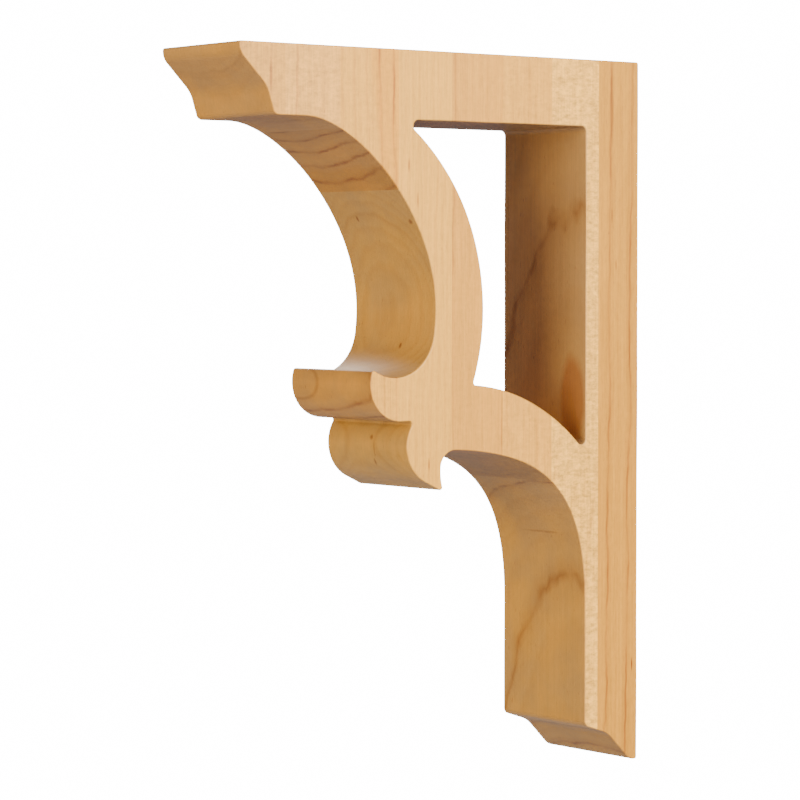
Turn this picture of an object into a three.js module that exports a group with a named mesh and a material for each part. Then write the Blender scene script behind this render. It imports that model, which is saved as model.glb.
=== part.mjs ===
// A wooden corbel bracket, sawn to one outline, cut through by a window and eased along its edges.
// Millimetres, +Z up. The wall is the plane Y = 0 and the bracket reaches out from it along -Y.
// The origin is the middle of the flat back face, and X runs across the bracket's width.

import * as THREE from "three";
import { mergeVertices } from "three/addons/utils/BufferGeometryUtils.js";

// Overall sizes
const width = 50.8;
const height = 279.4;
const depth = 193.7;

// The rail lies under the shelf and the post stands against the wall.
const railThickness = 26.4;
const postThickness = 27.6;

// The curved arm is part of a ring. Its heart is the level where its two sides run upright.
const armFace = 103.2; // out from the wall to the arm's hollow side, at the heart
const armDrop = 71.6; // down from the rail's underside to the heart
const armThickness = 23.5;
const armRadius = 85.5; // of the side that faces the wall

// The arch sweeps from the heart up to a short flat under the rail's end.
const soffitFlat = 13.8;
const archPullUp = 0.51; // share of the sweep's height that its handle takes
const archPullOut = 0.39; // share of its reach

// The hook turns the arm's hollow side out over the upper bead.
const hookRadius = 18.8;
const hookDepth = 25.6; // down from the heart

// The two beads
const upperBeadRadius = 14.3;
const upperBeadOut = 16.9; // out from the arm's face
const upperBeadDown = 2.4; // down from the hook's lowest level
const lowerBeadRadius = 15;
const lowerBeadBack = 18; // from the upper bead's centre towards the wall
const lowerBeadDown = 9.7; // from the upper bead's underside down to the lower one's centre
const beadTipSlope = 25; // degrees, of the flat that runs on to the lower bead's tip
const grooveRadius = 1.2;

// The hollow behind the lower bead, which faces the wall
const bayBack = 1.4; // from the lower bead's centre towards the wall
const bayDown = 9.5; // down from the lower bead's centre to the hollow's deepest level
const bayRadius = 23.2;
const bayCornerRadius = 7;

// The shoulder carries the arm to the post, and the lower arch is hollowed under it.
const shoulderRadius = 84;
const shoulderBack = 13; // from the arm's face towards the wall, to the shoulder's crown
const shoulderDown = 29; // down from the arm's heart to that crown
const shoulderThickness = 24.5; // from that crown down to the crown of the lower arch
const lowerArchOut = 6.3; // from the lower bead's centre out to that crown, past the bay
const lowerArchHeight = 65.5; // from the crown down to where the leg runs straight
const lowerArchPull = 0.75; // share of the sweep's height and reach that its handles take

// The same moulding ends the rail and the foot of the post.
const ogeeReach = 15.6;
const ogeeNoseFlat = 1.3;
const ogeeNoseRadius = 6.2;
const ogeeCoveRadius = 11;
const ogeeSlope = 45; // degrees from the flat of the nose
const ogeeHeelSlope = 18;
const ogeeHeelRadius = 2.5;

// Small roundings
const windowCornerRadius = 2.2;
const crotchRadius = 1.2;
const beadTipRadius = 1.1;
const cornerRadius = 0.9;
const edgeEase = 0.6; // of the long edges of both side faces

// How finely curves are drawn, and how close two points are taken as one
const curveStep = 2; // length of a curve's short straight steps
const filletStep = Math.PI / 12; // turn of one step on a small rounding
const samePoint = 0.02;
const weld = 1e-5;

// The side view is drawn with x out from the wall and y up from the shelf's level.
const at = (out, down) => new THREE.Vector2(out, -down);
const outward = at(1, 0);
const inward = at(-1, 0);
const downward = at(0, 1);
const upward = at(0, -1);
const radians = THREE.MathUtils.degToRad;
const direction = (degrees) => outward.clone().rotateAround(at(0, 0), radians(degrees));
const stepped = (from, step, length) => from.clone().addScaledVector(step, length);
const reversed = (points) => [...points].reverse();

// An arc about a centre, from one angle to the other in degrees, counted from straight out.
function arc(centre, radius, from, to) {
  const [start, end] = [radians(from), radians(to)];
  const curve = new THREE.EllipseCurve(centre.x, centre.y, radius, radius, start, end, end < start);
  return curve.getPoints(Math.ceil((radius * Math.abs(end - start)) / curveStep));
}

// A quarter sweep that leaves one point upright and reaches the other one level.
function sweep(upright, level, pullUp, pullOut) {
  const first = stepped(upright, upward, (level.y - upright.y) * pullUp);
  const second = stepped(level, inward, (level.x - upright.x) * pullOut);
  const curve = new THREE.CubicBezierCurve(upright, first, second, level);
  return curve.getPoints(Math.ceil(curve.getLength() / curveStep));
}

// The point at a place along a run, where 2.5 is half way from its third point to its fourth.
function along(run, place) {
  const index = Math.min(Math.floor(place), run.length - 2);
  return run[index].clone().lerp(run[index + 1], place - index);
}

// The same run moved sideways, to the left of its own direction for a positive distance.
function moved(run, distance) {
  return run.map((point, index) => {
    const ahead = run[Math.min(index + 1, run.length - 1)].clone();
    const tangent = ahead.sub(run[Math.max(index - 1, 0)]).normalize();
    return point.clone().add(new THREE.Vector2(-tangent.y, tangent.x).multiplyScalar(distance));
  });
}

// Where two runs cross: the last crossing along the first run, as a place on each of them.
function crossing(first, second) {
  for (let i = first.length - 2; i >= 0; i--) {
    for (let j = 0; j < second.length - 1; j++) {
      const a = first[i + 1].clone().sub(first[i]);
      const b = second[j + 1].clone().sub(second[j]);
      const gap = second[j].clone().sub(first[i]);
      const turn = a.cross(b);
      const [onA, onB] = [gap.cross(b) / turn, gap.cross(a) / turn];
      if (onA >= 0 && onA <= 1 && onB >= 0 && onB <= 1) return { first: i + onA, second: j + onB, turn };
    }
  }
  return null;
}

// A ball that touches both runs on the side they turn to. It is limited by the length of the
// walls that it touches, so one that finds no place is tried again a tenth smaller.
function ballBetween(first, second, side, radius) {
  const touching = crossing(moved(first, side * radius), moved(second, side * radius));
  if (!touching) return ballBetween(first, second, side, radius * 0.9);
  return { ...touching, centre: along(moved(first, side * radius), touching.first) };
}

// The corner between two runs: where each of them is cut, and the points of the rounding. Two
// runs that meet end to end with no radius flow into each other.
function corner(first, second, radius) {
  if (radius === 0) return { first: first.length - 1, second: 0, fillet: [] };
  const ball = ballBetween(first, second, Math.sign(crossing(first, second).turn), radius);
  const spoke = along(first, ball.first).sub(ball.centre);
  const end = along(second, ball.second).sub(ball.centre);
  const angle = Math.atan2(spoke.cross(end), spoke.dot(end));
  const count = Math.ceil(Math.abs(angle) / filletStep);
  const turned = (k) => spoke.clone().rotateAround(at(0, 0), (angle * k) / count).add(ball.centre);
  return { ...ball, fillet: Array.from({ length: count - 1 }, (_, k) => turned(k + 1)) };
}

// Closes a ring of runs: each is cut where it meets the next, and that corner gets its radius.
function ring(runs) {
  const corners = runs.map(([run, radius], k) => corner(run, runs[(k + 1) % runs.length][0], radius));
  const points = runs.flatMap(([run], k) => {
    const start = corners.at(k - 1).second;
    const end = corners[k].first;
    const inner = run.filter((_, index) => index > start && index < end);
    return [along(run, start), ...inner, along(run, end), ...corners[k].fillet];
  });
  return points.filter((point, k) => point.distanceTo(points.at(k - 1)) > samePoint);
}

// The end moulding, as its nose, slope and heel, in that order. It starts at a sharp tip and
// crosses a board of the given thickness, going back from the tip by the ogee's reach.
function ogee(tip, across, back, thickness) {
  const place = (a, b) => stepped(stepped(tip, across, a), back, b);
  const slope = Math.tan(radians(ogeeSlope));
  const slopeStart = ogeeNoseFlat + ogeeNoseRadius * Math.tan(radians(ogeeSlope) / 2);
  const heelRun = ogeeReach / Math.tan(radians(ogeeHeelSlope));
  return [
    [place(0, 0), place(slopeStart, 0)],
    [place(slopeStart, 0), place(slopeStart + thickness, thickness * slope)],
    [place(thickness - heelRun, 0), place(thickness, ogeeReach)],
  ];
}

// Centres and levels that several runs share
const armHeart = railThickness + armDrop;
const ringCentre = at(armFace - armThickness + armRadius, armHeart);
const ringInner = armRadius - armThickness;
const hookBottom = armHeart + hookDepth;
const hookOffset = ringInner - hookRadius;
const hookRise = hookDepth - hookRadius;
const hookCentre = at(ringCentre.x - Math.sqrt(hookOffset ** 2 - hookRise ** 2), armHeart + hookRise);
const hookTurn = THREE.MathUtils.radToDeg(Math.asin(hookRise / hookOffset));
const upperBead = at(armFace + upperBeadOut, hookBottom + upperBeadDown);
const beadUnderside = -upperBead.y + upperBeadRadius;
const lowerBead = at(upperBead.x - lowerBeadBack, beadUnderside + lowerBeadDown);
const shoulderCrown = at(armFace - shoulderBack, armHeart + shoulderDown);
const shoulderCentre = shoulderCrown.clone().add(at(0, shoulderRadius));
const lowerArchCrown = at(lowerBead.x + lowerArchOut, -shoulderCrown.y + shoulderThickness);

// The outer outline, up from the foot, along the hollow sides and back under the shelf
function outline() {
  const foot = ogee(at(0, height), outward, upward, postThickness);
  const end = ogee(at(depth, 0), downward, inward, railThickness).map(reversed);
  const legTop = at(postThickness, -lowerArchCrown.y + lowerArchHeight);
  const bay = at(lowerBead.x - bayBack - bayRadius, -lowerBead.y + bayDown);
  const tipFlatEnd = stepped(lowerBead, direction(beadTipSlope - 90), lowerBeadRadius);
  const soffitEnd = depth - ogeeReach;
  return ring([
    [[at(0, 0), at(0, height)], cornerRadius],
    [foot[0], ogeeNoseRadius],
    [foot[1], ogeeCoveRadius],
    [foot[2], ogeeHeelRadius],
    [[at(postThickness, height - ogeeReach), legTop], 0],
    [sweep(legTop, lowerArchCrown, lowerArchPull, lowerArchPull), bayCornerRadius],
    [arc(bay, bayRadius, 90, -40), beadTipRadius],
    [[stepped(tipFlatEnd, direction(beadTipSlope + 180), lowerBeadRadius), tipFlatEnd], 0],
    [arc(lowerBead, lowerBeadRadius, beadTipSlope - 90, 90), grooveRadius],
    [[at(lowerBead.x, beadUnderside), at(upperBead.x, beadUnderside)], 0],
    [arc(upperBead, upperBeadRadius, -90, 90), beadTipRadius],
    [arc(hookCentre, hookRadius, -10, hookTurn - 180), 0],
    [arc(ringCentre, ringInner, hookTurn - 180, -180), 0],
    [sweep(at(armFace, armHeart), at(soffitEnd - soffitFlat, railThickness), archPullUp, archPullOut), 0],
    [[at(soffitEnd - soffitFlat, railThickness), at(soffitEnd, railThickness)], ogeeHeelRadius],
    [end[2], ogeeCoveRadius],
    [end[1], ogeeNoseRadius],
    [end[0], cornerRadius],
    [[at(depth, 0), at(0, 0)], cornerRadius],
  ]);
}

// The window between rail, post, shoulder and curved arm
function windowOutline() {
  return ring([
    [[at(postThickness, railThickness), at(ringCentre.x, railThickness)], windowCornerRadius],
    [arc(ringCentre, armRadius, 90, 270), crotchRadius],
    [arc(shoulderCentre, shoulderRadius, 60, 180), windowCornerRadius],
    [[at(postThickness, height), at(postThickness, railThickness)], windowCornerRadius],
  ]);
}

// The board: the outline carried across the width, with both faces' edges eased
function bracketGeometry() {
  const side = new THREE.Shape(outline());
  side.holes.push(new THREE.Path(windowOutline()));
  const geometry = new THREE.ExtrudeGeometry(side, {
    depth: width - 2 * edgeEase,
    bevelThickness: edgeEase,
    bevelSize: edgeEase,
    bevelOffset: -edgeEase,
    bevelSegments: 2,
  });
  geometry.translate(0, 0, edgeEase - width / 2);
  geometry.deleteAttribute("normal");
  geometry.deleteAttribute("uv");
  const merged = mergeVertices(geometry, weld);
  merged.computeVertexNormals();
  return merged;
}

const maple = new THREE.MeshStandardMaterial({ color: 0xe2c49e, roughness: 0.55, metalness: 0 });

const bracket = new THREE.Mesh(bracketGeometry(), maple);
bracket.name = "corbel_bracket";
bracket.rotation.set(Math.PI / 2, -Math.PI / 2, 0); // out from the wall becomes -Y
bracket.position.z = height / 2;

const part = new THREE.Group();
part.add(bracket);

export default part;
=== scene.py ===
# %% [markdown]
# # A maple corbel bracket
#
# A corbel carries a shelf or a counter from the wall behind it. This one is one solid piece:
# boards of hard maple are glued face to face into a thick blank, one outline is sawn through
# it, a window is cut out of the middle, and the long edges are eased by hand. The lesson
# follows that order: the outline, the solid, the wood, and then the light and the camera.

from math import ceil

import bpy
import numpy as np
from mathutils import Matrix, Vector
from mathutils.geometry import tessellate_polygon


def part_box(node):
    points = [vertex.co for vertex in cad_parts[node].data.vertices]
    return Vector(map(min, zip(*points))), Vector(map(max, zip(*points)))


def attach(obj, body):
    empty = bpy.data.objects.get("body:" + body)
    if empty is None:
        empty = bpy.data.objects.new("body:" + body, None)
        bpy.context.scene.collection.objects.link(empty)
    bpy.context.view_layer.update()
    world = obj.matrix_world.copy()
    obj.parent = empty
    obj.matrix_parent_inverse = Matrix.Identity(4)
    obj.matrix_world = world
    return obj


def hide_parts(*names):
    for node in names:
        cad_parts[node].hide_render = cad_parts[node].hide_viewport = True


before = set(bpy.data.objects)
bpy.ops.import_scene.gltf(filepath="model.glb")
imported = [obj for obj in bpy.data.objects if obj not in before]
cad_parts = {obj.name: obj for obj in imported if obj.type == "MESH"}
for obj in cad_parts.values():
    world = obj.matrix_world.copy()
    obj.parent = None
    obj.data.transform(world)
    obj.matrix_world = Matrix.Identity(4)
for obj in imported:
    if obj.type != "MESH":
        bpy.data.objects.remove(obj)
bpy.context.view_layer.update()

MM = 0.001
low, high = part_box("corbel_bracket")
width, depth, height = (np.array(high - low) / MM).round(3)
print(f"The blank is {width} mm wide, {depth} mm deep and {height} mm tall.")

# %% [markdown]
# ## A side view in complex numbers
#
# The bracket's whole character is its outline, so that is worked out first, flat, in the side
# view. Points could be (x, y) pairs, but a complex number holds both at once: the real part is
# the distance out from the wall, the imaginary part is the height, minus numbers lying below
# the shelf. Turning a direction by a right angle is then a product with 1j, and a whole curve
# is one array. Each stretch of the outline is kept as a run: an array of two rows, the points
# and the heading at each of them. Exact headings give exact surface normals later.

# %% Straight runs, arcs and sweeps
FINE_STEP = 0.5  # mm between the points of a run


def at(out, down):
    """A point of the side view, in mm out from the wall and down from the shelf's level."""
    return complex(out, -down)


def steps(length):
    """Values from 0 to 1, spaced so that a run of this length gets fine steps."""
    return np.linspace(0, 1, max(2, ceil(length / FINE_STEP)) + 1)


def line(start, end):
    """A straight run: start + s (end - start), with one heading all along."""
    s = steps(abs(end - start))
    heading = (end - start) / abs(end - start)
    return np.stack([start + s * (end - start), np.full(len(s), heading)])


def arc(centre, radius, first, last):
    """A run round a centre: centre + radius e^(i a), the angle a going from first to last
    degrees, counted from straight out. The heading stands square to the spoke."""
    a = np.radians(first + (last - first) * steps(radius * np.radians(abs(last - first))))
    return np.stack([centre + radius * np.exp(1j * a), 1j * np.exp(1j * a) * np.sign(last - first)])


def sweep(upright, level, pull_up, pull_out):
    """A quarter sweep from an upright start to a level end. It is the cubic Bezier curve
    (1-s)^3 A + 3 s (1-s)^2 B + 3 s^2 (1-s) C + s^3 D, and its heading is the derivative."""
    reach = level - upright
    b = upright + 1j * reach.imag * pull_up
    c = level - reach.real * pull_out
    s = steps(abs(reach))
    points = (1 - s) ** 3 * upright + 3 * s * (1 - s) ** 2 * b + 3 * s**2 * (1 - s) * c + s**3 * level
    slope = (1 - s) ** 2 * (b - upright) + 2 * s * (1 - s) * (c - b) + s**2 * (level - c)
    return np.stack([points, slope / abs(slope)])


print("A half turn of 10 mm radius has", arc(0, 10, 0, 180).shape[1], "points.")

# %% [markdown]
# ## Corners as a rolling ball
#
# Where two runs meet, the wood has a small rounding: a router bit or a sanding block can't make
# a true corner. The rounding is the path of a ball that touches both runs, so its centre is
# where the two runs cross after both are moved sideways by the ball's radius. The crossing is
# found for every pair of steps at once, as one table of numbers, instead of step by step.

# %% Crossings, roundings and closed rings
BALL_TURN = np.radians(6)  # turn of one step on a rounding
SLACK = 1e-6  # share of a step by which two runs may miss each other's ends
CLEAR = 0.1  # share of a step that is kept clear beside a cut
SAME_POINT = 1e-3  # mm


def cross(a, b):
    """The cross product of two directions of the side view."""
    return (np.conj(a) * b).imag


def crossing(first, second):
    """Where two runs cross. Step i of the first and step j of the second meet where
    P_i + s a = Q_j + t b, so s = (gap x b) / (a x b) and t = (gap x a) / (a x b)."""
    a = np.diff(first[0])[:, None]
    b = np.diff(second[0])[None, :]
    gap = second[0][None, :-1] - first[0][:-1, None]
    turn = cross(a, b)
    with np.errstate(divide="ignore", invalid="ignore"):
        s = cross(gap, b) / turn
        t = cross(gap, a) / turn
    met = (abs(s - 0.5) <= 0.5 + SLACK) & (abs(t - 0.5) <= 0.5 + SLACK)
    i, j = np.argwhere(met)[-1]
    return i + s[i, j], j + t[i, j], np.sign(turn[i, j])


def moved(run, distance):
    """The same run moved to the left of its heading: P + i heading distance."""
    return np.stack([run[0] + 1j * run[1] * distance, run[1]])


def along(run, place):
    """The point and heading at a place along a run, between its two nearest steps."""
    i = min(int(place), run.shape[1] - 2)
    return run[:, i] + (place - i) * (run[:, i + 1] - run[:, i])


def corner(first, second, radius):
    """Where two runs are cut for their rounding, and the rounding itself. The spoke from the
    ball's centre to the first cut is turned, step by step, to the second one."""
    if radius == 0:
        return first.shape[1] - 1, 0, np.empty((2, 0), complex)
    side = crossing(first, second)[2]
    start, end, _ = crossing(moved(first, side * radius), moved(second, side * radius))
    centre = along(moved(first, side * radius), start)[0]
    spoke = along(first, start)[0] - centre
    angle = np.angle((along(second, end)[0] - centre) / spoke)
    turned = spoke * np.exp(1j * angle * np.linspace(0, 1, ceil(abs(angle) / BALL_TURN) + 1)[1:-1])
    return start, end, np.stack([centre + turned, 1j * turned / abs(spoke) * np.sign(angle)])


def ring(*runs):
    """Closes a ring of (run, radius) pairs: each run is cut where it meets the next, and that
    corner is rounded with the run's radius."""
    after = [run for run, _ in runs[1:] + runs[:1]]
    corners = [corner(run, following, radius) for (run, radius), following in zip(runs, after)]
    pieces = []
    for k, (run, _) in enumerate(runs):
        start, end = corners[k - 1][1], corners[k][0]
        inner = run[:, ceil(start + CLEAR) : ceil(end - CLEAR)]
        pieces += [along(run, start)[:, None], inner, along(run, end)[:, None], corners[k][2]]
    closed = np.concatenate(pieces, axis=1)
    apart = abs(closed[0] - np.roll(closed[0], 1)) > SAME_POINT
    return closed[:, apart]


rounding = corner(line(at(0, 0), at(0, 9)), line(at(0, 9), at(9, 9)), 2)[2]
print("A square corner rounded by a 2 mm ball gets", rounding.shape[1], "more points.")


# %% [markdown]
# ## The outline of the corbel
#
# The rail lies under the shelf and the post stands against the wall, and both end in the same
# ogee. Between them a curved arm sweeps down from the rail's end, turns under in a hook over
# two rolled beads, and rests on the post through an arched shoulder. Tracing the curves freehand
# would leave flats and lumps in the light, so each one is the arc or sweep that a pattern
# maker would lay out, and the centres follow from a few sizes.

# %% Sizes of the outline, in mm
rail_thickness, post_thickness = 26.4, 27.6
arm_face, arm_drop, arm_thickness, arm_radius = 103.2, 71.6, 23.5, 85.5
soffit_flat, arch_pull_up, arch_pull_out = 13.8, 0.51, 0.39
hook_radius, hook_depth = 18.8, 25.6
upper_bead_radius, upper_bead_out, upper_bead_down = 14.3, 16.9, 2.4
lower_bead_radius, lower_bead_back, lower_bead_down = 15, 18, 9.7
bead_tip_slope, groove_radius, bead_tip_radius = 25, 1.2, 1.1
bay_back, bay_down, bay_radius, bay_corner_radius = 1.4, 9.5, 23.2, 7
shoulder_radius, shoulder_back, shoulder_down, shoulder_thickness = 84, 13, 29, 24.5
lower_arch_out, lower_arch_height, lower_arch_pull = 6.3, 65.5, 0.75
ogee_reach, ogee_nose_flat, ogee_nose_radius, ogee_cove_radius = 15.6, 1.3, 6.2, 11
ogee_slope, ogee_heel_slope, ogee_heel_radius = 45, 18, 2.5
window_corner_radius, crotch_radius, corner_radius = 2.2, 1.2, 0.9

arm_heart = rail_thickness + arm_drop
ring_centre = at(arm_face - arm_thickness + arm_radius, arm_heart)
ring_inner = arm_radius - arm_thickness
hook_offset = ring_inner - hook_radius
hook_rise = hook_depth - hook_radius
hook_turn = np.degrees(np.arcsin(hook_rise / hook_offset))
hook_centre = ring_centre - 1j * hook_rise - np.sqrt(hook_offset**2 - hook_rise**2)
upper_bead = at(arm_face + upper_bead_out, arm_heart + hook_depth + upper_bead_down)
bead_underside = -upper_bead.imag + upper_bead_radius
lower_bead = at(upper_bead.real - lower_bead_back, bead_underside + lower_bead_down)
shoulder_crown = at(arm_face - shoulder_back, arm_heart + shoulder_down)
lower_arch_crown = at(lower_bead.real + lower_arch_out, -shoulder_crown.imag + shoulder_thickness)
print(f"The arm's ring has its centre {ring_centre.real:.1f} mm out and {arm_heart:.1f} mm down.")

# %% [markdown]
# ## The ogee
#
# Rail and post end in an ogee, an S of a rounded nose and a hollow cove. Drawing the S as one
# free curve makes it hard to keep the same at both ends. A moulding plane's profile is laid out
# with straight lines first, so this one is too: three lines, and the rolling ball rounds them.

# %% The ogee that ends the rail and the post


def ogee(tip, across, back, thickness):
    """Nose, slope and heel of the end moulding, from a sharp tip across a board: three straight
    runs, given as places a across and b back from the tip. Their roundings make the ogee."""
    slope_start = ogee_nose_flat + ogee_nose_radius * np.tan(np.radians(ogee_slope) / 2)
    slope = np.tan(np.radians(ogee_slope))
    heel_run = ogee_reach / np.tan(np.radians(ogee_heel_slope))
    corners = [
        (0, 0, slope_start, 0),
        (slope_start, 0, slope_start + thickness, thickness * slope),
        (thickness - heel_run, 0, thickness, ogee_reach),
    ]
    return [line(tip + across * a + back * b, tip + across * c + back * d) for a, b, c, d in corners]


def reverse(run):
    """The same run walked the other way."""
    return np.stack([run[0, ::-1], -run[1, ::-1]])


foot = ogee(at(0, height), 1, 1j, post_thickness)
arm_end = [reverse(run) for run in ogee(at(depth, 0), -1j, -1, rail_thickness)]
print(f"The ogee goes {ogee_reach} mm back over a board of {post_thickness} mm.")

# %% [markdown]
# ## The two closed rings
#
# The pattern is now walked round once: down the back, under the foot, up the leg, over the lower
# arch, the beads and the arm, out along the rail and home along the top. Runs are listed longer
# than they need to be, and each is cut where it meets its neighbour, so that a changed size
# moves its corners too. The window is a second ring, walked the other way.

# %% The outer ring and the window's ring
leg_top = at(post_thickness, -lower_arch_crown.imag + lower_arch_height)
bay = at(lower_bead.real - bay_back - bay_radius, -lower_bead.imag + bay_down)
tip_heading = np.exp(1j * np.radians(bead_tip_slope))
tip_flat_end = lower_bead - 1j * tip_heading * lower_bead_radius
soffit_end = at(depth - ogee_reach, rail_thickness)
soffit_start = soffit_end - soffit_flat

outline = ring(
    (line(at(0, 0), at(0, height)), corner_radius),
    (foot[0], ogee_nose_radius),
    (foot[1], ogee_cove_radius),
    (foot[2], ogee_heel_radius),
    (line(at(post_thickness, height - ogee_reach), leg_top), 0),
    (sweep(leg_top, lower_arch_crown, lower_arch_pull, lower_arch_pull), bay_corner_radius),
    (arc(bay, bay_radius, 90, -40), bead_tip_radius),
    (line(tip_flat_end - tip_heading * lower_bead_radius, tip_flat_end), 0),
    (arc(lower_bead, lower_bead_radius, bead_tip_slope - 90, 90), groove_radius),
    (line(at(lower_bead.real, bead_underside), at(upper_bead.real, bead_underside)), 0),
    (arc(upper_bead, upper_bead_radius, -90, 90), bead_tip_radius),
    (arc(hook_centre, hook_radius, -10, hook_turn - 180), 0),
    (arc(ring_centre, ring_inner, hook_turn - 180, -180), 0),
    (sweep(at(arm_face, arm_heart), soffit_start, arch_pull_up, arch_pull_out), 0),
    (line(soffit_start, soffit_end), ogee_heel_radius),
    (arm_end[2], ogee_cove_radius),
    (arm_end[1], ogee_nose_radius),
    (arm_end[0], corner_radius),
    (line(at(depth, 0), at(0, 0)), corner_radius),
)

window_corner = at(post_thickness, rail_thickness)
window = ring(
    (line(window_corner, at(ring_centre.real, rail_thickness)), window_corner_radius),
    (arc(ring_centre, arm_radius, 90, 270), crotch_radius),
    (arc(shoulder_crown - 1j * shoulder_radius, shoulder_radius, 60, 180), window_corner_radius),
    (line(at(post_thickness, height), window_corner), window_corner_radius),
)
print(f"The outline has {outline.shape[1]} points and the window {window.shape[1]}.")

# %% [markdown]
# ## From outline to solid
#
# The sawn faces are the outline carried straight across the width. A real bracket's long edges
# are never knife sharp: a few strokes of sandpaper leave a rounding of about half a
# millimetre, and it catches the light as a thin bright line. A Bevel modifier could make it, but
# the outline already knows its own headings, so the rounding is part of the same grid: one
# parameter runs round the outline, the other goes over the first edge, across and over the
# second edge. The strokes aren't even, so the rounding grows and shrinks along the outline.

# %% The grid round the outline and over both edges
EASE = 0.55  # mm, the usual radius of the eased edges
EASE_WANDER = 0.2  # mm more or less
EASE_STEPS = 6
EASE_WAVES = [(11, 17, 0), (-23, 9, 1), (5, 31, 2)]  # mm per radian out and up, and the start


def hand_ease(points):
    """The edge's radius along the outline: a mean plus three slow waves that depend on the
    point's own place, so that the ring closes without a jump."""
    waves = [np.sin(points.real / a + points.imag / b + start) for a, b, start in EASE_WAVES]
    return EASE + EASE_WANDER * sum(waves) / len(waves)


def swept_grid(closed_ring):
    """Carries a ring across the width. Over each edge the angle v goes through a quarter turn:
    x = side (half - r) + r sin v, the ring moves inward by r (1 - cos v), and the normal is
    outward cos v + x sin v, where outward is the heading turned by -i."""
    points, headings = closed_ring
    quarter = np.linspace(0, np.pi / 2, EASE_STEPS + 1)
    angle = np.concatenate([-quarter[::-1], quarter])[:, None]
    side = np.sign(np.concatenate([-np.ones(EASE_STEPS + 1), np.ones(EASE_STEPS + 1)]))[:, None]
    radius = hand_ease(points)[None, :]
    x = side * (width / 2 - radius) + radius * np.sin(angle)
    flat = points + 1j * headings * radius * (1 - np.cos(angle))
    outward = -1j * headings * np.cos(angle)
    place = np.stack([x, -flat.real, flat.imag + height / 2], axis=-1)
    normal = np.stack([np.sin(angle) + 0 * x, -outward.real, outward.imag], axis=-1)
    sawn = np.cos(angle) + 0 * x
    return place, normal, sawn


def ring_quads(rows, count, first):
    """Corner numbers of the quads of a grid that is closed round its rows."""
    i, j = np.meshgrid(np.arange(rows - 1), np.arange(count), indexing="ij")
    k = (j + 1) % count
    quads = [i * count + j, (i + 1) * count + j, (i + 1) * count + k, i * count + k]
    return first + np.stack(quads, axis=-1).reshape(-1, 4)


eases = hand_ease(outline[0])
print(f"The outline's edges are eased by {eases.min():.2f} to {eases.max():.2f} mm.")

# %% [markdown]
# The two side faces are flat, with the window as a hole in each, so they need no grid: the
# polygon between the two rings is cut into triangles once and used on both sides. Each corner
# of the mesh gets its normal from the formula, which keeps flat faces truly flat in the light
# right up to the rounding.

# %% One closed shell


def bracket_mesh():
    """Joins the two swept rings and the two flat faces into one closed shell."""
    grids = [swept_grid(outline), swept_grid(window)]
    rows = 2 * (EASE_STEPS + 1)
    counts = [outline.shape[1], window.shape[1]]
    starts = [0, rows * counts[0]]
    place = np.concatenate([grid[0].reshape(-1, 3) for grid in grids]) * MM
    normal = np.concatenate([grid[1].reshape(-1, 3) for grid in grids])
    sawn = np.concatenate([grid[2].ravel() for grid in grids])
    quads = np.concatenate([ring_quads(rows, count, start) for count, start in zip(counts, starts)])
    edge = [start + (rows - 1) * count + np.arange(count) for count, start in zip(counts, starts)]
    face = np.array(tessellate_polygon([place[ids][:, 1:] for ids in edge]))
    right = np.concatenate(edge)[face]
    left_edge = [start + np.arange(count) for count, start in zip(counts, starts)]
    left = np.concatenate(left_edge)[face]
    return place, normal, sawn, quads, facing(place, right, 1), facing(place, left, -1)


def facing(place, triangles, side):
    """The same triangles, each turned to face towards +X or -X: the sign of the cross product
    of two of its edges tells which way it faces."""
    a, b, c = (place[triangles[:, k], 1:] for k in range(3))
    area = (b - a)[:, 0] * (c - a)[:, 1] - (b - a)[:, 1] * (c - a)[:, 0]
    flipped = np.sign(area)[:, None] * side < 0
    return np.where(flipped, triangles[:, ::-1], triangles)


place, normal, sawn, quads, right, left = bracket_mesh()
print(len(quads), "quads go over the edges and", len(right) + len(left), "triangles fill the sides.")

# %% [markdown]
# The arrays go into Blender whole, one call each, which is much faster than adding faces one by
# one. Three numbers are kept at every point for the finish and its painted shade: how much of the
# surface there is sawn rather than planed, how much it cuts across the grain, and whether it is
# inside the window.

# %% The mesh in Blender
corners_used = np.concatenate([quads.ravel(), right.ravel(), left.ravel()])
sizes = np.concatenate([np.full(len(quads), 4), np.full(len(right) + len(left), 3)])

mesh = bpy.data.meshes.new("bracket")
mesh.vertices.add(len(place))
mesh.vertices.foreach_set("co", place.ravel())
mesh.loops.add(len(corners_used))
mesh.loops.foreach_set("vertex_index", corners_used)
mesh.polygons.add(len(sizes))
mesh.polygons.foreach_set("loop_start", np.cumsum(sizes) - sizes)
mesh.update(calc_edges=True)
mesh.polygons.foreach_set("use_smooth", np.ones(len(sizes), bool))
mesh.attributes.new("sawn", "FLOAT", "POINT").data.foreach_set("value", sawn)
mesh.attributes.new("end_grain", "FLOAT", "POINT").data.foreach_set("value", abs(normal[:, 2]))
in_window = np.arange(len(place)) >= len(place) - window.shape[1] * 2 * (EASE_STEPS + 1)
mesh.attributes.new("inside", "FLOAT", "POINT").data.foreach_set("value", in_window.astype(float))
mesh.validate()
mesh.normals_split_custom_set_from_vertices(normal)

bracket = bpy.data.objects.new("bracket", mesh)
bpy.context.scene.collection.objects.link(bracket)
print(f"The bracket has {len(place)} points and {int((sizes - 2).sum())} triangles.")

# %% [markdown]
# ## Shader maths as Python
#
# Wood is worked out as a solid here: every point of the blank has a colour, so the grain runs
# through from one face to the next as it does in the real thing. That takes a good deal of
# arithmetic. Placing Math nodes by hand is slow to write and hard to read, so a small class
# wraps a socket and turns each operator into a node.

# %% A socket that can be added and multiplied


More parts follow.
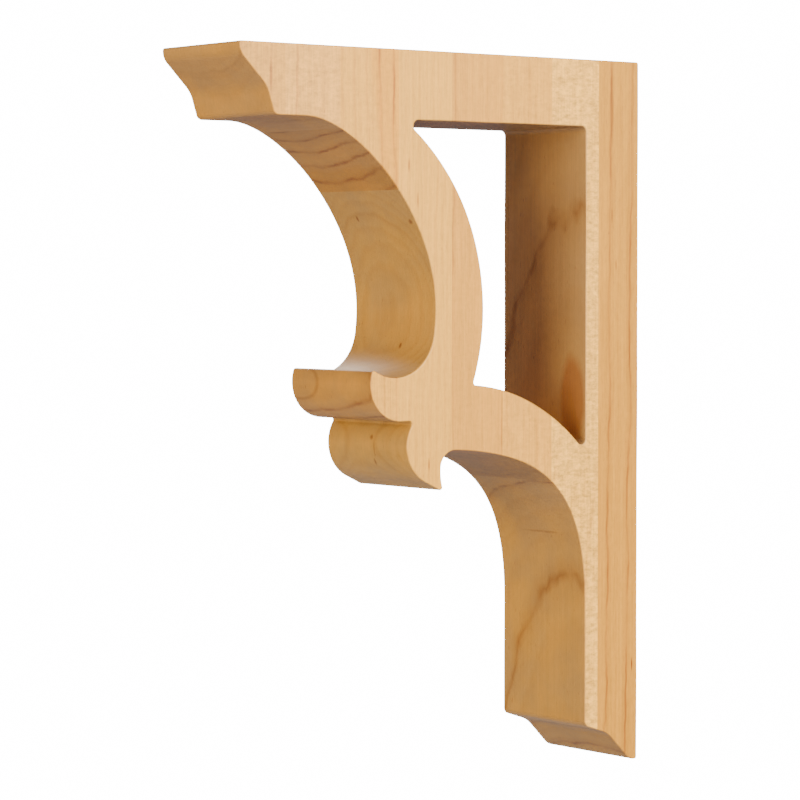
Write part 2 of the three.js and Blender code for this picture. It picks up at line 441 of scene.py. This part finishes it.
class Value:
    """One output of a node. Arithmetic on it adds Math nodes to the same tree."""

    def __init__(self, finish, socket):
        self.finish = finish
        self.socket = socket

    def beside(self, name):
        """Another output of the same node."""
        return Value(self.finish, self.socket.node.outputs[name])

    def math(self, operation, *others):
        inputs = dict(enumerate([self, *others]))
        return self.finish.node("ShaderNodeMath", {"operation": operation}, inputs)

    def __add__(self, other):
        return self.math("ADD", other)

    def __sub__(self, other):
        return self.math("SUBTRACT", other)

    def __mul__(self, other):
        return self.math("MULTIPLY", other)

    def __truediv__(self, other):
        return self.math("DIVIDE", other)

    def __pow__(self, other):
        return self.math("POWER", other)

    def __rsub__(self, other):
        return self.finish.node("ShaderNodeMath", {"operation": "SUBTRACT"}, {0: other, 1: self})

    __radd__ = __add__
    __rmul__ = __mul__


class Finish:
    """The nodes of a material or a world, with one method that adds any node: its type, then
    its settings, then the values or links of its sockets."""

    def __init__(self, owner):
        owner.use_nodes = True
        self.tree = owner.node_tree
        self.tree.nodes.clear()

    def node(self, kind, settings=None, inputs=None, output=0):
        node = self.tree.nodes.new(kind)
        for name, value in (settings or {}).items():
            if name == "stops":
                self.set_stops(node.color_ramp, value)
            elif name == "interpolation" and kind == "ShaderNodeValToRGB":
                node.color_ramp.interpolation = value
            else:
                setattr(node, name, value)
        for name, value in (inputs or {}).items():
            if isinstance(value, Value):
                self.tree.links.new(value.socket, node.inputs[name])
            else:
                node.inputs[name].default_value = value
        return Value(self, node.outputs[output]) if node.outputs else None

    @staticmethod
    def set_stops(ramp, stops):
        while len(ramp.elements) < len(stops):
            ramp.elements.new(1.0)
        for element, (position, colour) in zip(ramp.elements, stops):
            element.position = position
            element.color = (*colour, 1.0)


print("The shader helpers are ready.")

# %% [markdown]
# ## The blank and its boards
#
# The grain runs upright through the whole bracket. The blank is glued up from boards about an
# inch thick, so the side faces show a row of upright stripes, one for each board, and each
# board keeps a tone and a figure of its own. A picture of wood wrapped round the shape would
# break at every edge. Instead the colour is a function of the point inside the blank, read from
# Object coordinates, so a ring that leaves one face comes up again on the next.

# %% Tones and boards
BOARD_END = [20.4, 44.9, 69.7, 94.7, 121.0, 148.3, 173.0, 200.0]  # mm out from the wall
SIDE_TONE = [  # of the planed side faces
    (0.59, 0.260, 0.019),
    (0.82, 0.420, 0.070),
    (0.75, 0.350, 0.046),
    (0.70, 0.315, 0.037),
    (0.79, 0.380, 0.046),
    (0.79, 0.372, 0.042),
    (0.77, 0.370, 0.062),
    (0.70, 0.325, 0.045),
]
SAWN_TONE_WITH_PAINTED_SHADE = [  # of the sawn and sanded faces, mostly darker than the sides: painted shade and warm bounce light
    (0.56, 0.255, 0.036),
    (0.66, 0.315, 0.059),
    (0.54, 0.245, 0.042),
    (0.66, 0.290, 0.050),
    (0.71, 0.350, 0.063),
    (0.71, 0.317, 0.051),
    (0.73, 0.340, 0.068),
    (0.78, 0.355, 0.060),
]
HEART_SIDE = [1, 1, -1, 1, 1, -1, 1, -1]  # 1 where the heart of the tree lay towards the wall
SLANT = [0.01, 0.155, 0.03, 0.02, 0.04, 0.01, 0.02, 0.03]  # of the rings, in mm per mm of height
RING_MIDDLE = [5, 18, -8, 10, -4, -14, 6, -5]  # mm across, where the rings run square to the sides
BEND = [0.005, 0.005, 0.005, 0.005, 0.014, 0.003, 0.005, 0.006]  # of the rings, in 1 / mm
RING_SPACING = [4.6, 5.0, 3.1, 3.6, 3.3, 3.0, 2.7, 4.4]  # mm
RING_DEPTH = [0.4, 0.3, 0.4, 0.4, 0.55, 0.5, 0.45, 0.35]  # how dark a common ring is, from 0 to 1
STREAK_START = [17.8, 18.2, 50, 72, 118, -117.5, 160, -170]  # the level of a brown ring, in mm
STREAK_SPACING = [11, 21.8, 14, 25, 17, 6, 12, 13]  # mm
STREAK_DEPTH = [0.75, 0.75, 0.2, 0.5, 0.12, 0.8, 0.35, 0.2]  # how dark it is, from 0 to 1
STREAK_ON_SIDE = [1, 0.35, 1, 1, 1, 0.25, 1, 1]  # share of it that shows on the planed faces
HEART_BOARD = [0, 0, 0, 0, 0, 1, 0, 0]  # 1 for the board that holds the heartwood's edge
FLECK = [0.08, 1.0, 0.3, 0.15, 0.12, 0.25, 0.6, 0.5]  # of the rays, from 0 to 1
print(len(BOARD_END), "boards, the last one cut to", round(depth - BOARD_END[-2], 1), "mm.")

# %% [markdown]
# A board's values are looked up by the distance out from the wall. A chain of comparisons would
# do, but a colour ramp with flat steps holds a whole table in one node, so it also stores plain
# numbers here, squeezed between 0 and 1.

# %% Place in the blank
maple_material = bpy.data.materials.new("maple")
maple = Finish(maple_material)
metres = maple.node("ShaderNodeTexCoord", output="Object")
place_mm = maple.node("ShaderNodeVectorMath", {"operation": "SCALE"}, {0: metres, "Scale": 1 / MM})
split = maple.node("ShaderNodeSeparateXYZ", inputs={0: place_mm})
across, back, up = split, split.beside("Y"), split.beside("Z")
out = 0 - back
sawn_share = maple.node("ShaderNodeAttribute", {"attribute_name": "sawn"}, output="Fac")
end_share = maple.node("ShaderNodeAttribute", {"attribute_name": "end_grain"}, output="Fac")
inside_share = maple.node("ShaderNodeAttribute", {"attribute_name": "inside"}, output="Fac")
print("The blank is measured in mm, out from the wall, across and up.")


def board_ramp(colours):
    """A ramp with one flat step for each board, read by the distance out from the wall."""
    starts = [0] + [end / BOARD_END[-1] for end in BOARD_END[:-1]]
    settings = {"interpolation": "CONSTANT", "stops": list(zip(starts, colours))}
    return maple.node("ShaderNodeValToRGB", settings, {0: out / BOARD_END[-1]})


def by_board(values):
    """Looks a board's value up. The ramp holds the values squeezed into 0 to 1, and
    low + share (high - low) stretches them back."""
    lowest, highest = min(values), max(values)
    shares = board_ramp([((value - lowest) / (highest - lowest),) * 3 for value in values])
    return lowest + maple.node("ShaderNodeSeparateColor", inputs={0: shares}) * (highest - lowest)


def grain_noise(per_mm, detail=2.0, roughness=0.5, shift=(0, 0, 0)):
    """Smooth noise with its own number of waves per mm across, out and up, from 0 to 1."""
    inputs = {0: place_mm, 1: per_mm, 2: shift}
    scaled = maple.node("ShaderNodeVectorMath", {"operation": "MULTIPLY_ADD"}, inputs)
    inputs = {"Vector": scaled, "Scale": 1.0, "Detail": detail, "Roughness": roughness}
    return maple.node("ShaderNodeTexNoise", {"noise_dimensions": "3D"}, inputs)


def blended(factor, under, over, mode="MIX"):
    """Lays one colour over another: under (1 - factor) + factor (under mode over)."""
    settings = {"data_type": "RGBA", "blend_type": mode, "clamp_factor": True}
    return maple.node("ShaderNodeMix", settings, {0: factor, 6: under, 7: over}, output=2)


def held(value, lowest=0.0, highest=1.0):
    """The value, kept between two limits."""
    return value.math("MAXIMUM", lowest).math("MINIMUM", highest)


# %% [markdown]
# ## Rings
#
# A board is cut from a trunk, whose rings are wide shells round its heart. Near one board a shell
# is almost a flat sheet, bent a little across: level = out + slant up + bend across^2. Every
# whole number of spacings the level passes a ring: the wood darkens slowly towards it and then
# turns pale again. On the sides such a sheet is cut square and gives a soft upright line. Where
# the saw runs along it, on the arm and the leg, the same sheet gives wide wandering loops.
#
# Maple's rings are faint. Now and then one has taken up minerals from the soil, and that one is
# a thin brown line, strong in one place and gone in the next.

# %% The dark wood of the rings
WANDER = 2.6  # mm by which a ring strays
RING_FADE = 0.9  # mm over which the wood turns pale again
STREAK_WIDTH = 0.8  # mm
HALO, HALO_DEPTH = 3.5, 0.25  # how many times wider the stain beside a brown ring is, and how dark
FAINT_STREAK = 0.25  # what is left of a brown ring where it is weakest
PATCH_START, PATCH_GAIN = 0.42, 5  # noise above which a brown ring gets stronger, and how fast

offset = across - by_board(RING_MIDDLE)
stray = grain_noise((1 / 18, 1 / 30, 1 / 34), detail=3, roughness=0.6) - 0.5
bend = offset * offset * by_board(BEND)
level = out * by_board(HEART_SIDE) + up * by_board(SLANT) + bend + stray * (2 * WANDER)

spacing = by_board(RING_SPACING)
share = (level / spacing).math("FRACT")
ring_dark = share**2.0 * held((1 - share) * spacing / RING_FADE) * by_board(RING_DEPTH)

streak_spacing = by_board(STREAK_SPACING)
streak_share = ((level - by_board(STREAK_START)) / streak_spacing + 0.5).math("FRACT") - 0.5
miss = streak_share.math("ABSOLUTE") * streak_spacing / STREAK_WIDTH
patch = held((grain_noise((0.09, 0.12, 0.035), detail=3, shift=(3, 8, 5)) - PATCH_START) * PATCH_GAIN)
patchy = FAINT_STREAK + patch * (1 - FAINT_STREAK)
streak = held(1 - miss) * patchy + held(1 - miss / HALO) * HALO_DEPTH
streak_dark = streak * by_board(STREAK_DEPTH)
print(f"A brown ring is {2 * STREAK_WIDTH} mm wide, with a stain of {2 * HALO * STREAK_WIDTH:.1f} mm.")

# %% [markdown]
# One board holds the edge between the brown heartwood and the pale sapwood: towards the wall it
# is tinted, and its brown rings show on the side face only there. A few short dashes, where a bud
# or an insect marked the living tree, are set into the wood. Painting them on each face would
# break them at the edges, so each is a small ellipsoid inside the wood. The end of a small branch
# is the skin of one, drawn as a thin line, and a warm stain is a larger one with a soft border.

# %% Heartwood and small marks
HEART_EDGE, HEART_SLANT = 135.0, 0.1  # mm out from the wall at the top, and mm less per mm down
HEART_FADE, HEART_STRAY = 2.5, 6  # mm over which the tint fades, and mm by which its edge strays
MARKS = [  # place across, out and up, half sizes across, out and up, and strength
    ((25.4, 2.9, -101.3), (5, 0.5, 3.4), 1.0),
    ((25.4, 14.2, 120.0), (5, 1.2, 16.0), 0.45),
    ((25.4, 14.0, 78.6), (5, 0.6, 4.0), 0.5),
    ((25.4, 11.8, 58.8), (5, 0.5, 3.0), 0.5),
    ((25.4, 116.2, 96.3), (5, 0.5, 3.4), 0.8),
    ((25.4, 111.9, 83.1), (5, 0.5, 3.6), 0.7),
    ((25.4, 106.5, -17.4), (5, 0.5, 3.0), 0.7),
    ((25.4, 179.9, 127.5), (5, 0.9, 8.0), 0.6),
    ((-10.2, 113.7, 76.5), (0.9, 2, 1.6), 0.8),
    ((22.0, 112.8, 75.0), (1.4, 2, 1.3), 0.8),
    ((5.8, 105.2, 27.7), (1.0, 2, 1.5), 0.8),
    ((2.8, 116.7, -7.4), (1.2, 2, 1.3), 0.7),
    ((4.6, 117.0, -12.0), (0.5, 2, 4.5), 0.5),
    ((3.6, 115.8, -17.0), (0.8, 2, 2.0), 0.7),
    ((3.0, 31.0, -47.8), (14.0, 4, 0.6), 0.4),
]
MARK_EDGE = 1.6  # how sharply a mark ends
EYE = (-21.0, 134.0, 13.6), (12.5, 8, 6.6)  # the end of a small branch
EYE_LINE, EYE_STRENGTH = 0.14, 0.4  # its outline's width, as a share of the half sizes
STAIN = (17.0, 27.6, 4.0), (8.0, 6, 20.0)  # a pocket of warm brown, low in the window
STAIN_EDGE, STAIN_STRAY = 3, 2  # how sharply it ends, and how unevenly


def depth_inside(centre, half_sizes):
    """How deep a point lies in an ellipsoid: 1 - |(point - centre) / half sizes|, which is 1 at
    the centre, 0 on its skin and below 0 outside."""
    scale = 1 / np.array(half_sizes) * [1, -1, 1]
    shift = -np.array(centre) / half_sizes
    inputs = {0: place_mm, 1: scale.tolist(), 2: shift.tolist()}
    apart = maple.node("ShaderNodeVectorMath", {"operation": "MULTIPLY_ADD"}, inputs)
    return 1 - maple.node("ShaderNodeVectorMath", {"operation": "LENGTH"}, {0: apart}, "Value")


heart = (HEART_EDGE - out + (up - height / 2) * HEART_SLANT + stray * HEART_STRAY) / HEART_FADE
heart = held(heart) * by_board(HEART_BOARD)
marks = held(1 - depth_inside(*EYE).math("ABSOLUTE") / EYE_LINE) * EYE_STRENGTH
for centre, half_sizes, strength in MARKS:
    marks = marks + held(depth_inside(centre, half_sizes) * MARK_EDGE) * strength
stain = held(depth_inside(*STAIN) * STAIN_EDGE + stray * STAIN_STRAY) * sawn_share
print(len(MARKS), "small marks are set into the wood.")

# %% [markdown]
# ## Fibres, pores and rays
#
# Between the rings, maple is nearly even. Long fibres draw fine upright lines, a few pores show
# as short dark dashes, and where a board was cut towards the heart, its rays lie in the side
# face as small bright and dark flecks. Each is noise stretched along the grain by its own amount.

# %% Fine figure
PORE_START, PORE_GAIN = 0.7, 7  # noise above which there is a pore, and how sharply it begins
RAY_GAIN = 3  # how sharply a ray stands out

fibre = grain_noise((1.1, 1.1, 0.02), detail=3, roughness=0.6)
broad = grain_noise((0.03, 0.13, 0.004), detail=2, shift=(4, 1, 9))
cloud = grain_noise((0.05, 0.05, 0.02), detail=2, shift=(2, 7, 5))
pore = held((grain_noise((2.2, 2.2, 0.3), detail=1, shift=(9, 3, 1)) - PORE_START) * PORE_GAIN)
speckle = grain_noise((1.4, 1.4, 0.3), detail=2, shift=(7, 4, 6)) - 0.5
ray = grain_noise((0.3, 0.3, 0.7), detail=3, roughness=0.7, shift=(5, 5, 2)) - 0.5
ray = held(ray * RAY_GAIN, -1, 1) * by_board(FLECK) * (1 - sawn_share)
print("Fibres, tone, pores and rays are laid out.")

# %% [markdown]
# ## Colour
#
# The planed side faces are the palest. The sawn faces are painted darker and more golden, as
# painted shade and warm bounce light. Faces that look up or down, under the rail and in the
# arches, are darker and bluer still: end grain takes up more of the finish, and the rest is
# painted shade and a painted bluish sheen. The finish doesn't soak in evenly, which leaves golden
# and greyish clouds on the sawn faces, and inside the window the sawn faces get a painted cool
# shade. The colour starts from the board's tone and is then stained by all that was laid out above.

# %% The colour of every point
END_GRAIN_AND_PAINTED_SHADE = (0.53, 0.55, 0.66, 1)  # end grain darkened by the finish, with painted shade and a painted bluish sheen
GOLDEN, GREYISH = (1.08, 1.04, 0.82, 1), (0.9, 0.93, 1.16, 1)  # clouds of the sawn faces
CLOUD_GAIN, CLOUDS_LOST_INSIDE = 4, 0.7
WINDOW_PAINTED_SHADE = (0.87, 0.97, 1.6, 1)  # painted cool shade in the window: less red, much more blue
HEART_TINT = (0.97, 0.90, 0.50, 1)
RING_TINT = (0.82, 0.72, 0.55, 1)
STREAK_BROWN = (0.50, 0.34, 0.20, 1)
MARK_BROWN = (0.42, 0.26, 0.15, 1)
STAIN_BROWN = (0.78, 0.58, 0.46, 1)
PORE_BROWN = (0.6, 0.45, 0.35, 1)
FIBRE_LIGHT, FIBRE_LOST = 0.5, 0.25  # how much the fibres change the tone, and less where sawn
SPECKLE_LIGHT, SPECKLE_LOST = 0.34, 0.24
BROAD_LIGHT, CLOUD_LIGHT, RAY_LIGHT = 0.2, 0.12, 0.55

# The sawn faces take darker, more golden tones than the planed sides: painted shade and warm bounce
# light.
wood = blended(sawn_share, board_ramp(SIDE_TONE), board_ramp(SAWN_TONE_WITH_PAINTED_SHADE))
soaked = held((grain_noise((0.045, 0.05, 0.04), detail=3, shift=(6, 2, 3)) - 0.5) * CLOUD_GAIN + 0.5)
clouds = blended(soaked, GREYISH, GOLDEN)
wood = blended(sawn_share * (1 - inside_share * CLOUDS_LOST_INSIDE), wood, clouds, "MULTIPLY")
# Faces that look up or down get darker and bluer: partly end grain that takes up more finish, partly
# painted shade and a painted bluish sheen.
wood = blended(sawn_share * end_share, wood, END_GRAIN_AND_PAINTED_SHADE, "MULTIPLY")
# Painted shade: the window's sawn faces are tinted cooler and bluer.
wood = blended(sawn_share * inside_share, wood, WINDOW_PAINTED_SHADE, "MULTIPLY")
wood = blended(heart, wood, HEART_TINT, "MULTIPLY")
wood = blended(ring_dark, wood, RING_TINT, "MULTIPLY")
shown = by_board(STREAK_ON_SIDE) * (1 - sawn_share) + sawn_share
wood = blended(streak_dark * (shown + heart).math("MINIMUM", 1), wood, STREAK_BROWN, "MULTIPLY")
wood = blended(marks, wood, MARK_BROWN, "MULTIPLY")
wood = blended(stain, wood, STAIN_BROWN, "MULTIPLY")
wood = blended(pore, wood, PORE_BROWN, "MULTIPLY")
print("The wood has its stains.")

# %% The lightness of every point
tone = 1 + (fibre - 0.5) * (FIBRE_LIGHT - sawn_share * FIBRE_LOST)
tone = tone + (broad - 0.5) * BROAD_LIGHT + (cloud - 0.5) * CLOUD_LIGHT
light = tone + speckle * (SPECKLE_LIGHT - sawn_share * SPECKLE_LOST) + ray * RAY_LIGHT
wood = maple.node("ShaderNodeVectorMath", {"operation": "SCALE"}, {0: wood, "Scale": light})
print("The wood has its colour.")

# %% [markdown]
# ## Satin finish
#
# The wood is sanded and has a thin satin clear coat, which the fibres still show through: they
# change its gloss a little and leave a relief of hundredths of a millimetre. Real grooves in the
# mesh would need millions of faces, and a bump does the same to the light.

# %% The surface
ROUGH = 0.42  # of the planed faces
SAWN_ROUGH, FIBRE_ROUGH = 0.08, 0.1  # more on the sawn faces, and between the fibres
RELIEF, RELIEF_STRENGTH = 0.08, 0.35  # mm, and the share of it that shows
PORE_RELIEF, WAVE_RELIEF = 2, 3  # how many times deeper than the fibres
SHINE = 0.45  # a little less than clear varnish

waves = grain_noise((0.05, 0.05, 0.05), detail=1, shift=(1, 1, 1))
bumps = fibre - pore * PORE_RELIEF + waves * WAVE_RELIEF
depths = {"Strength": RELIEF_STRENGTH, "Distance": RELIEF * MM, "Height": bumps}
relief = maple.node("ShaderNodeBump", {}, depths)
surface = maple.node(
    "ShaderNodeBsdfPrincipled",
    {},
    {
        "Base Color": wood,
        "Roughness": ROUGH + sawn_share * SAWN_ROUGH + (fibre - 0.5) * FIBRE_ROUGH,
        "Normal": relief,
        "Specular IOR Level": SHINE,
    },
)
maple.node("ShaderNodeOutputMaterial", {}, {"Surface": surface})
mesh.materials.append(maple_material)
print("The finish has", len(maple.tree.nodes), "nodes.")

# %% [markdown]
# ## Camera
#
# The bracket is seen from its front and right, level with its upper half, through a long lens,
# so that upright edges stay nearly upright. The camera's three axes follow from a turn to the
# side and a slight tilt down, which is easier to adjust than three Euler angles.

# %% Camera
YAW, PITCH = np.radians(52.285), np.radians(-2.247)
FOCAL_PIXELS, FRAME_PIXELS, SENSOR = 3145, 800, 36  # pixels, pixels and mm
CAMERA_PLACE = (0.9636, -0.8460, 0.0542)  # m

view_right = np.array([np.cos(YAW), np.sin(YAW), 0])
view_ahead = np.array([-np.sin(YAW) * np.cos(PITCH), np.cos(YAW) * np.cos(PITCH), np.sin(PITCH)])
view_up = np.cross(view_right, view_ahead)
turn = Matrix(np.stack([view_right, view_up, -view_ahead], axis=1).tolist())

camera = bpy.data.objects.new("camera", bpy.data.cameras.new("camera"))
camera.data.sensor_width = SENSOR
camera.data.lens = FOCAL_PIXELS * SENSOR / FRAME_PIXELS
camera.matrix_world = Matrix.Translation(CAMERA_PLACE) @ turn.to_4x4()
bpy.context.scene.collection.objects.link(camera)
bpy.context.scene.camera = camera
print(f"The lens is {camera.data.lens:.1f} mm long.")

# %% [markdown]
# ## Light
#
# A large soft panel on the right makes the side face bright and even. A weaker and warmer one in
# front shapes the arch, the beads and the leg, and leaves the window's wall in shade. Two more
# stand at the left and behind, for the faces that look away from the camera.

# %% Lights
def soft_light(name, place, size, watts, colour):
    """A square lamp panel that faces the middle of the bracket."""
    panel = bpy.data.lights.new(name, "AREA")
    panel.size = size
    panel.energy = watts
    panel.color = colour
    lamp = bpy.data.objects.new(name, panel)
    lamp.location = place
    lamp.rotation_euler = (bracket_middle - lamp.location).to_track_quat("-Z", "Y").to_euler()
    bpy.context.scene.collection.objects.link(lamp)


bracket_middle = (low + high) / 2
soft_light("side_panel", (1.45, 0.15, 0.6), 0.9, 66, (1, 0.94, 0.78))
soft_light("front_panel", (0.5, -1.9, 0.2), 0.9, 31, (1, 0.92, 0.66))
soft_light("left_panel", (-1.6, 0.4, 1.0), 0.7, 20, (1, 0.94, 0.82))
soft_light("back_panel", (-0.4, 1.6, 1.0), 0.8, 7, (1, 0.97, 0.9))
print("Four panels light the bracket.")

# %% [markdown]
# ## White surroundings
#
# A product is often shown against pure white, but a white world that is bright enough would
# wash out the wood. The Light Path node tells the two apart: the camera sees white, and the
# bracket gets a dim, slightly cool glow from all round. A pale floor lies well below.

# %% World and floor
STUDIO = (0.085, 0.11, 0.20, 1)  # the even, slightly cool light from all round
BACKDROP = 16  # strength of the white that the camera sees behind the bracket
FLOOR_DROP, FLOOR_SIZE = 0.8, 3.0  # m, from the bracket's middle down to the floor, and its sides
FLOOR_GREY = (0.64, 0.66, 0.74, 1)

world = bpy.data.worlds.new("studio")
bpy.context.scene.world = world
studio = Finish(world)
seen = studio.node("ShaderNodeLightPath", output="Is Camera Ray")
glow = studio.node("ShaderNodeBackground", {}, {"Color": STUDIO})
backdrop = studio.node("ShaderNodeBackground", {}, {"Strength": BACKDROP, "Color": (1, 1, 1, 1)})
both = studio.node("ShaderNodeMixShader", {}, {0: seen, 1: glow, 2: backdrop})
studio.node("ShaderNodeOutputWorld", {}, {"Surface": both})

half = FLOOR_SIZE / 2
square = ((-half, -half), (half, -half), (half, half), (-half, half))
floor_corners = [(x, y, -FLOOR_DROP) for x, y in square]
floor_mesh = bpy.data.meshes.new("floor")
floor_mesh.from_pydata(floor_corners, [], [(0, 1, 2, 3)])
floor = bpy.data.objects.new("floor", floor_mesh)
bpy.context.scene.collection.objects.link(floor)
floor_material = bpy.data.materials.new("pale_floor")
pale = Finish(floor_material)
matte = pale.node("ShaderNodeBsdfDiffuse", {}, {"Color": FLOOR_GREY})
pale.node("ShaderNodeOutputMaterial", {}, {"Surface": matte})
floor_mesh.materials.append(floor_material)
print("The floor lies", FLOOR_DROP, "m below the bracket's middle.")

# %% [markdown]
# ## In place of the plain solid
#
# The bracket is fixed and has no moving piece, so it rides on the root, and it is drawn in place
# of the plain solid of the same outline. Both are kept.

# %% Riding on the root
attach(bracket, "root")
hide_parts("corbel_bracket")
print("The bracket stands for the plain solid.")
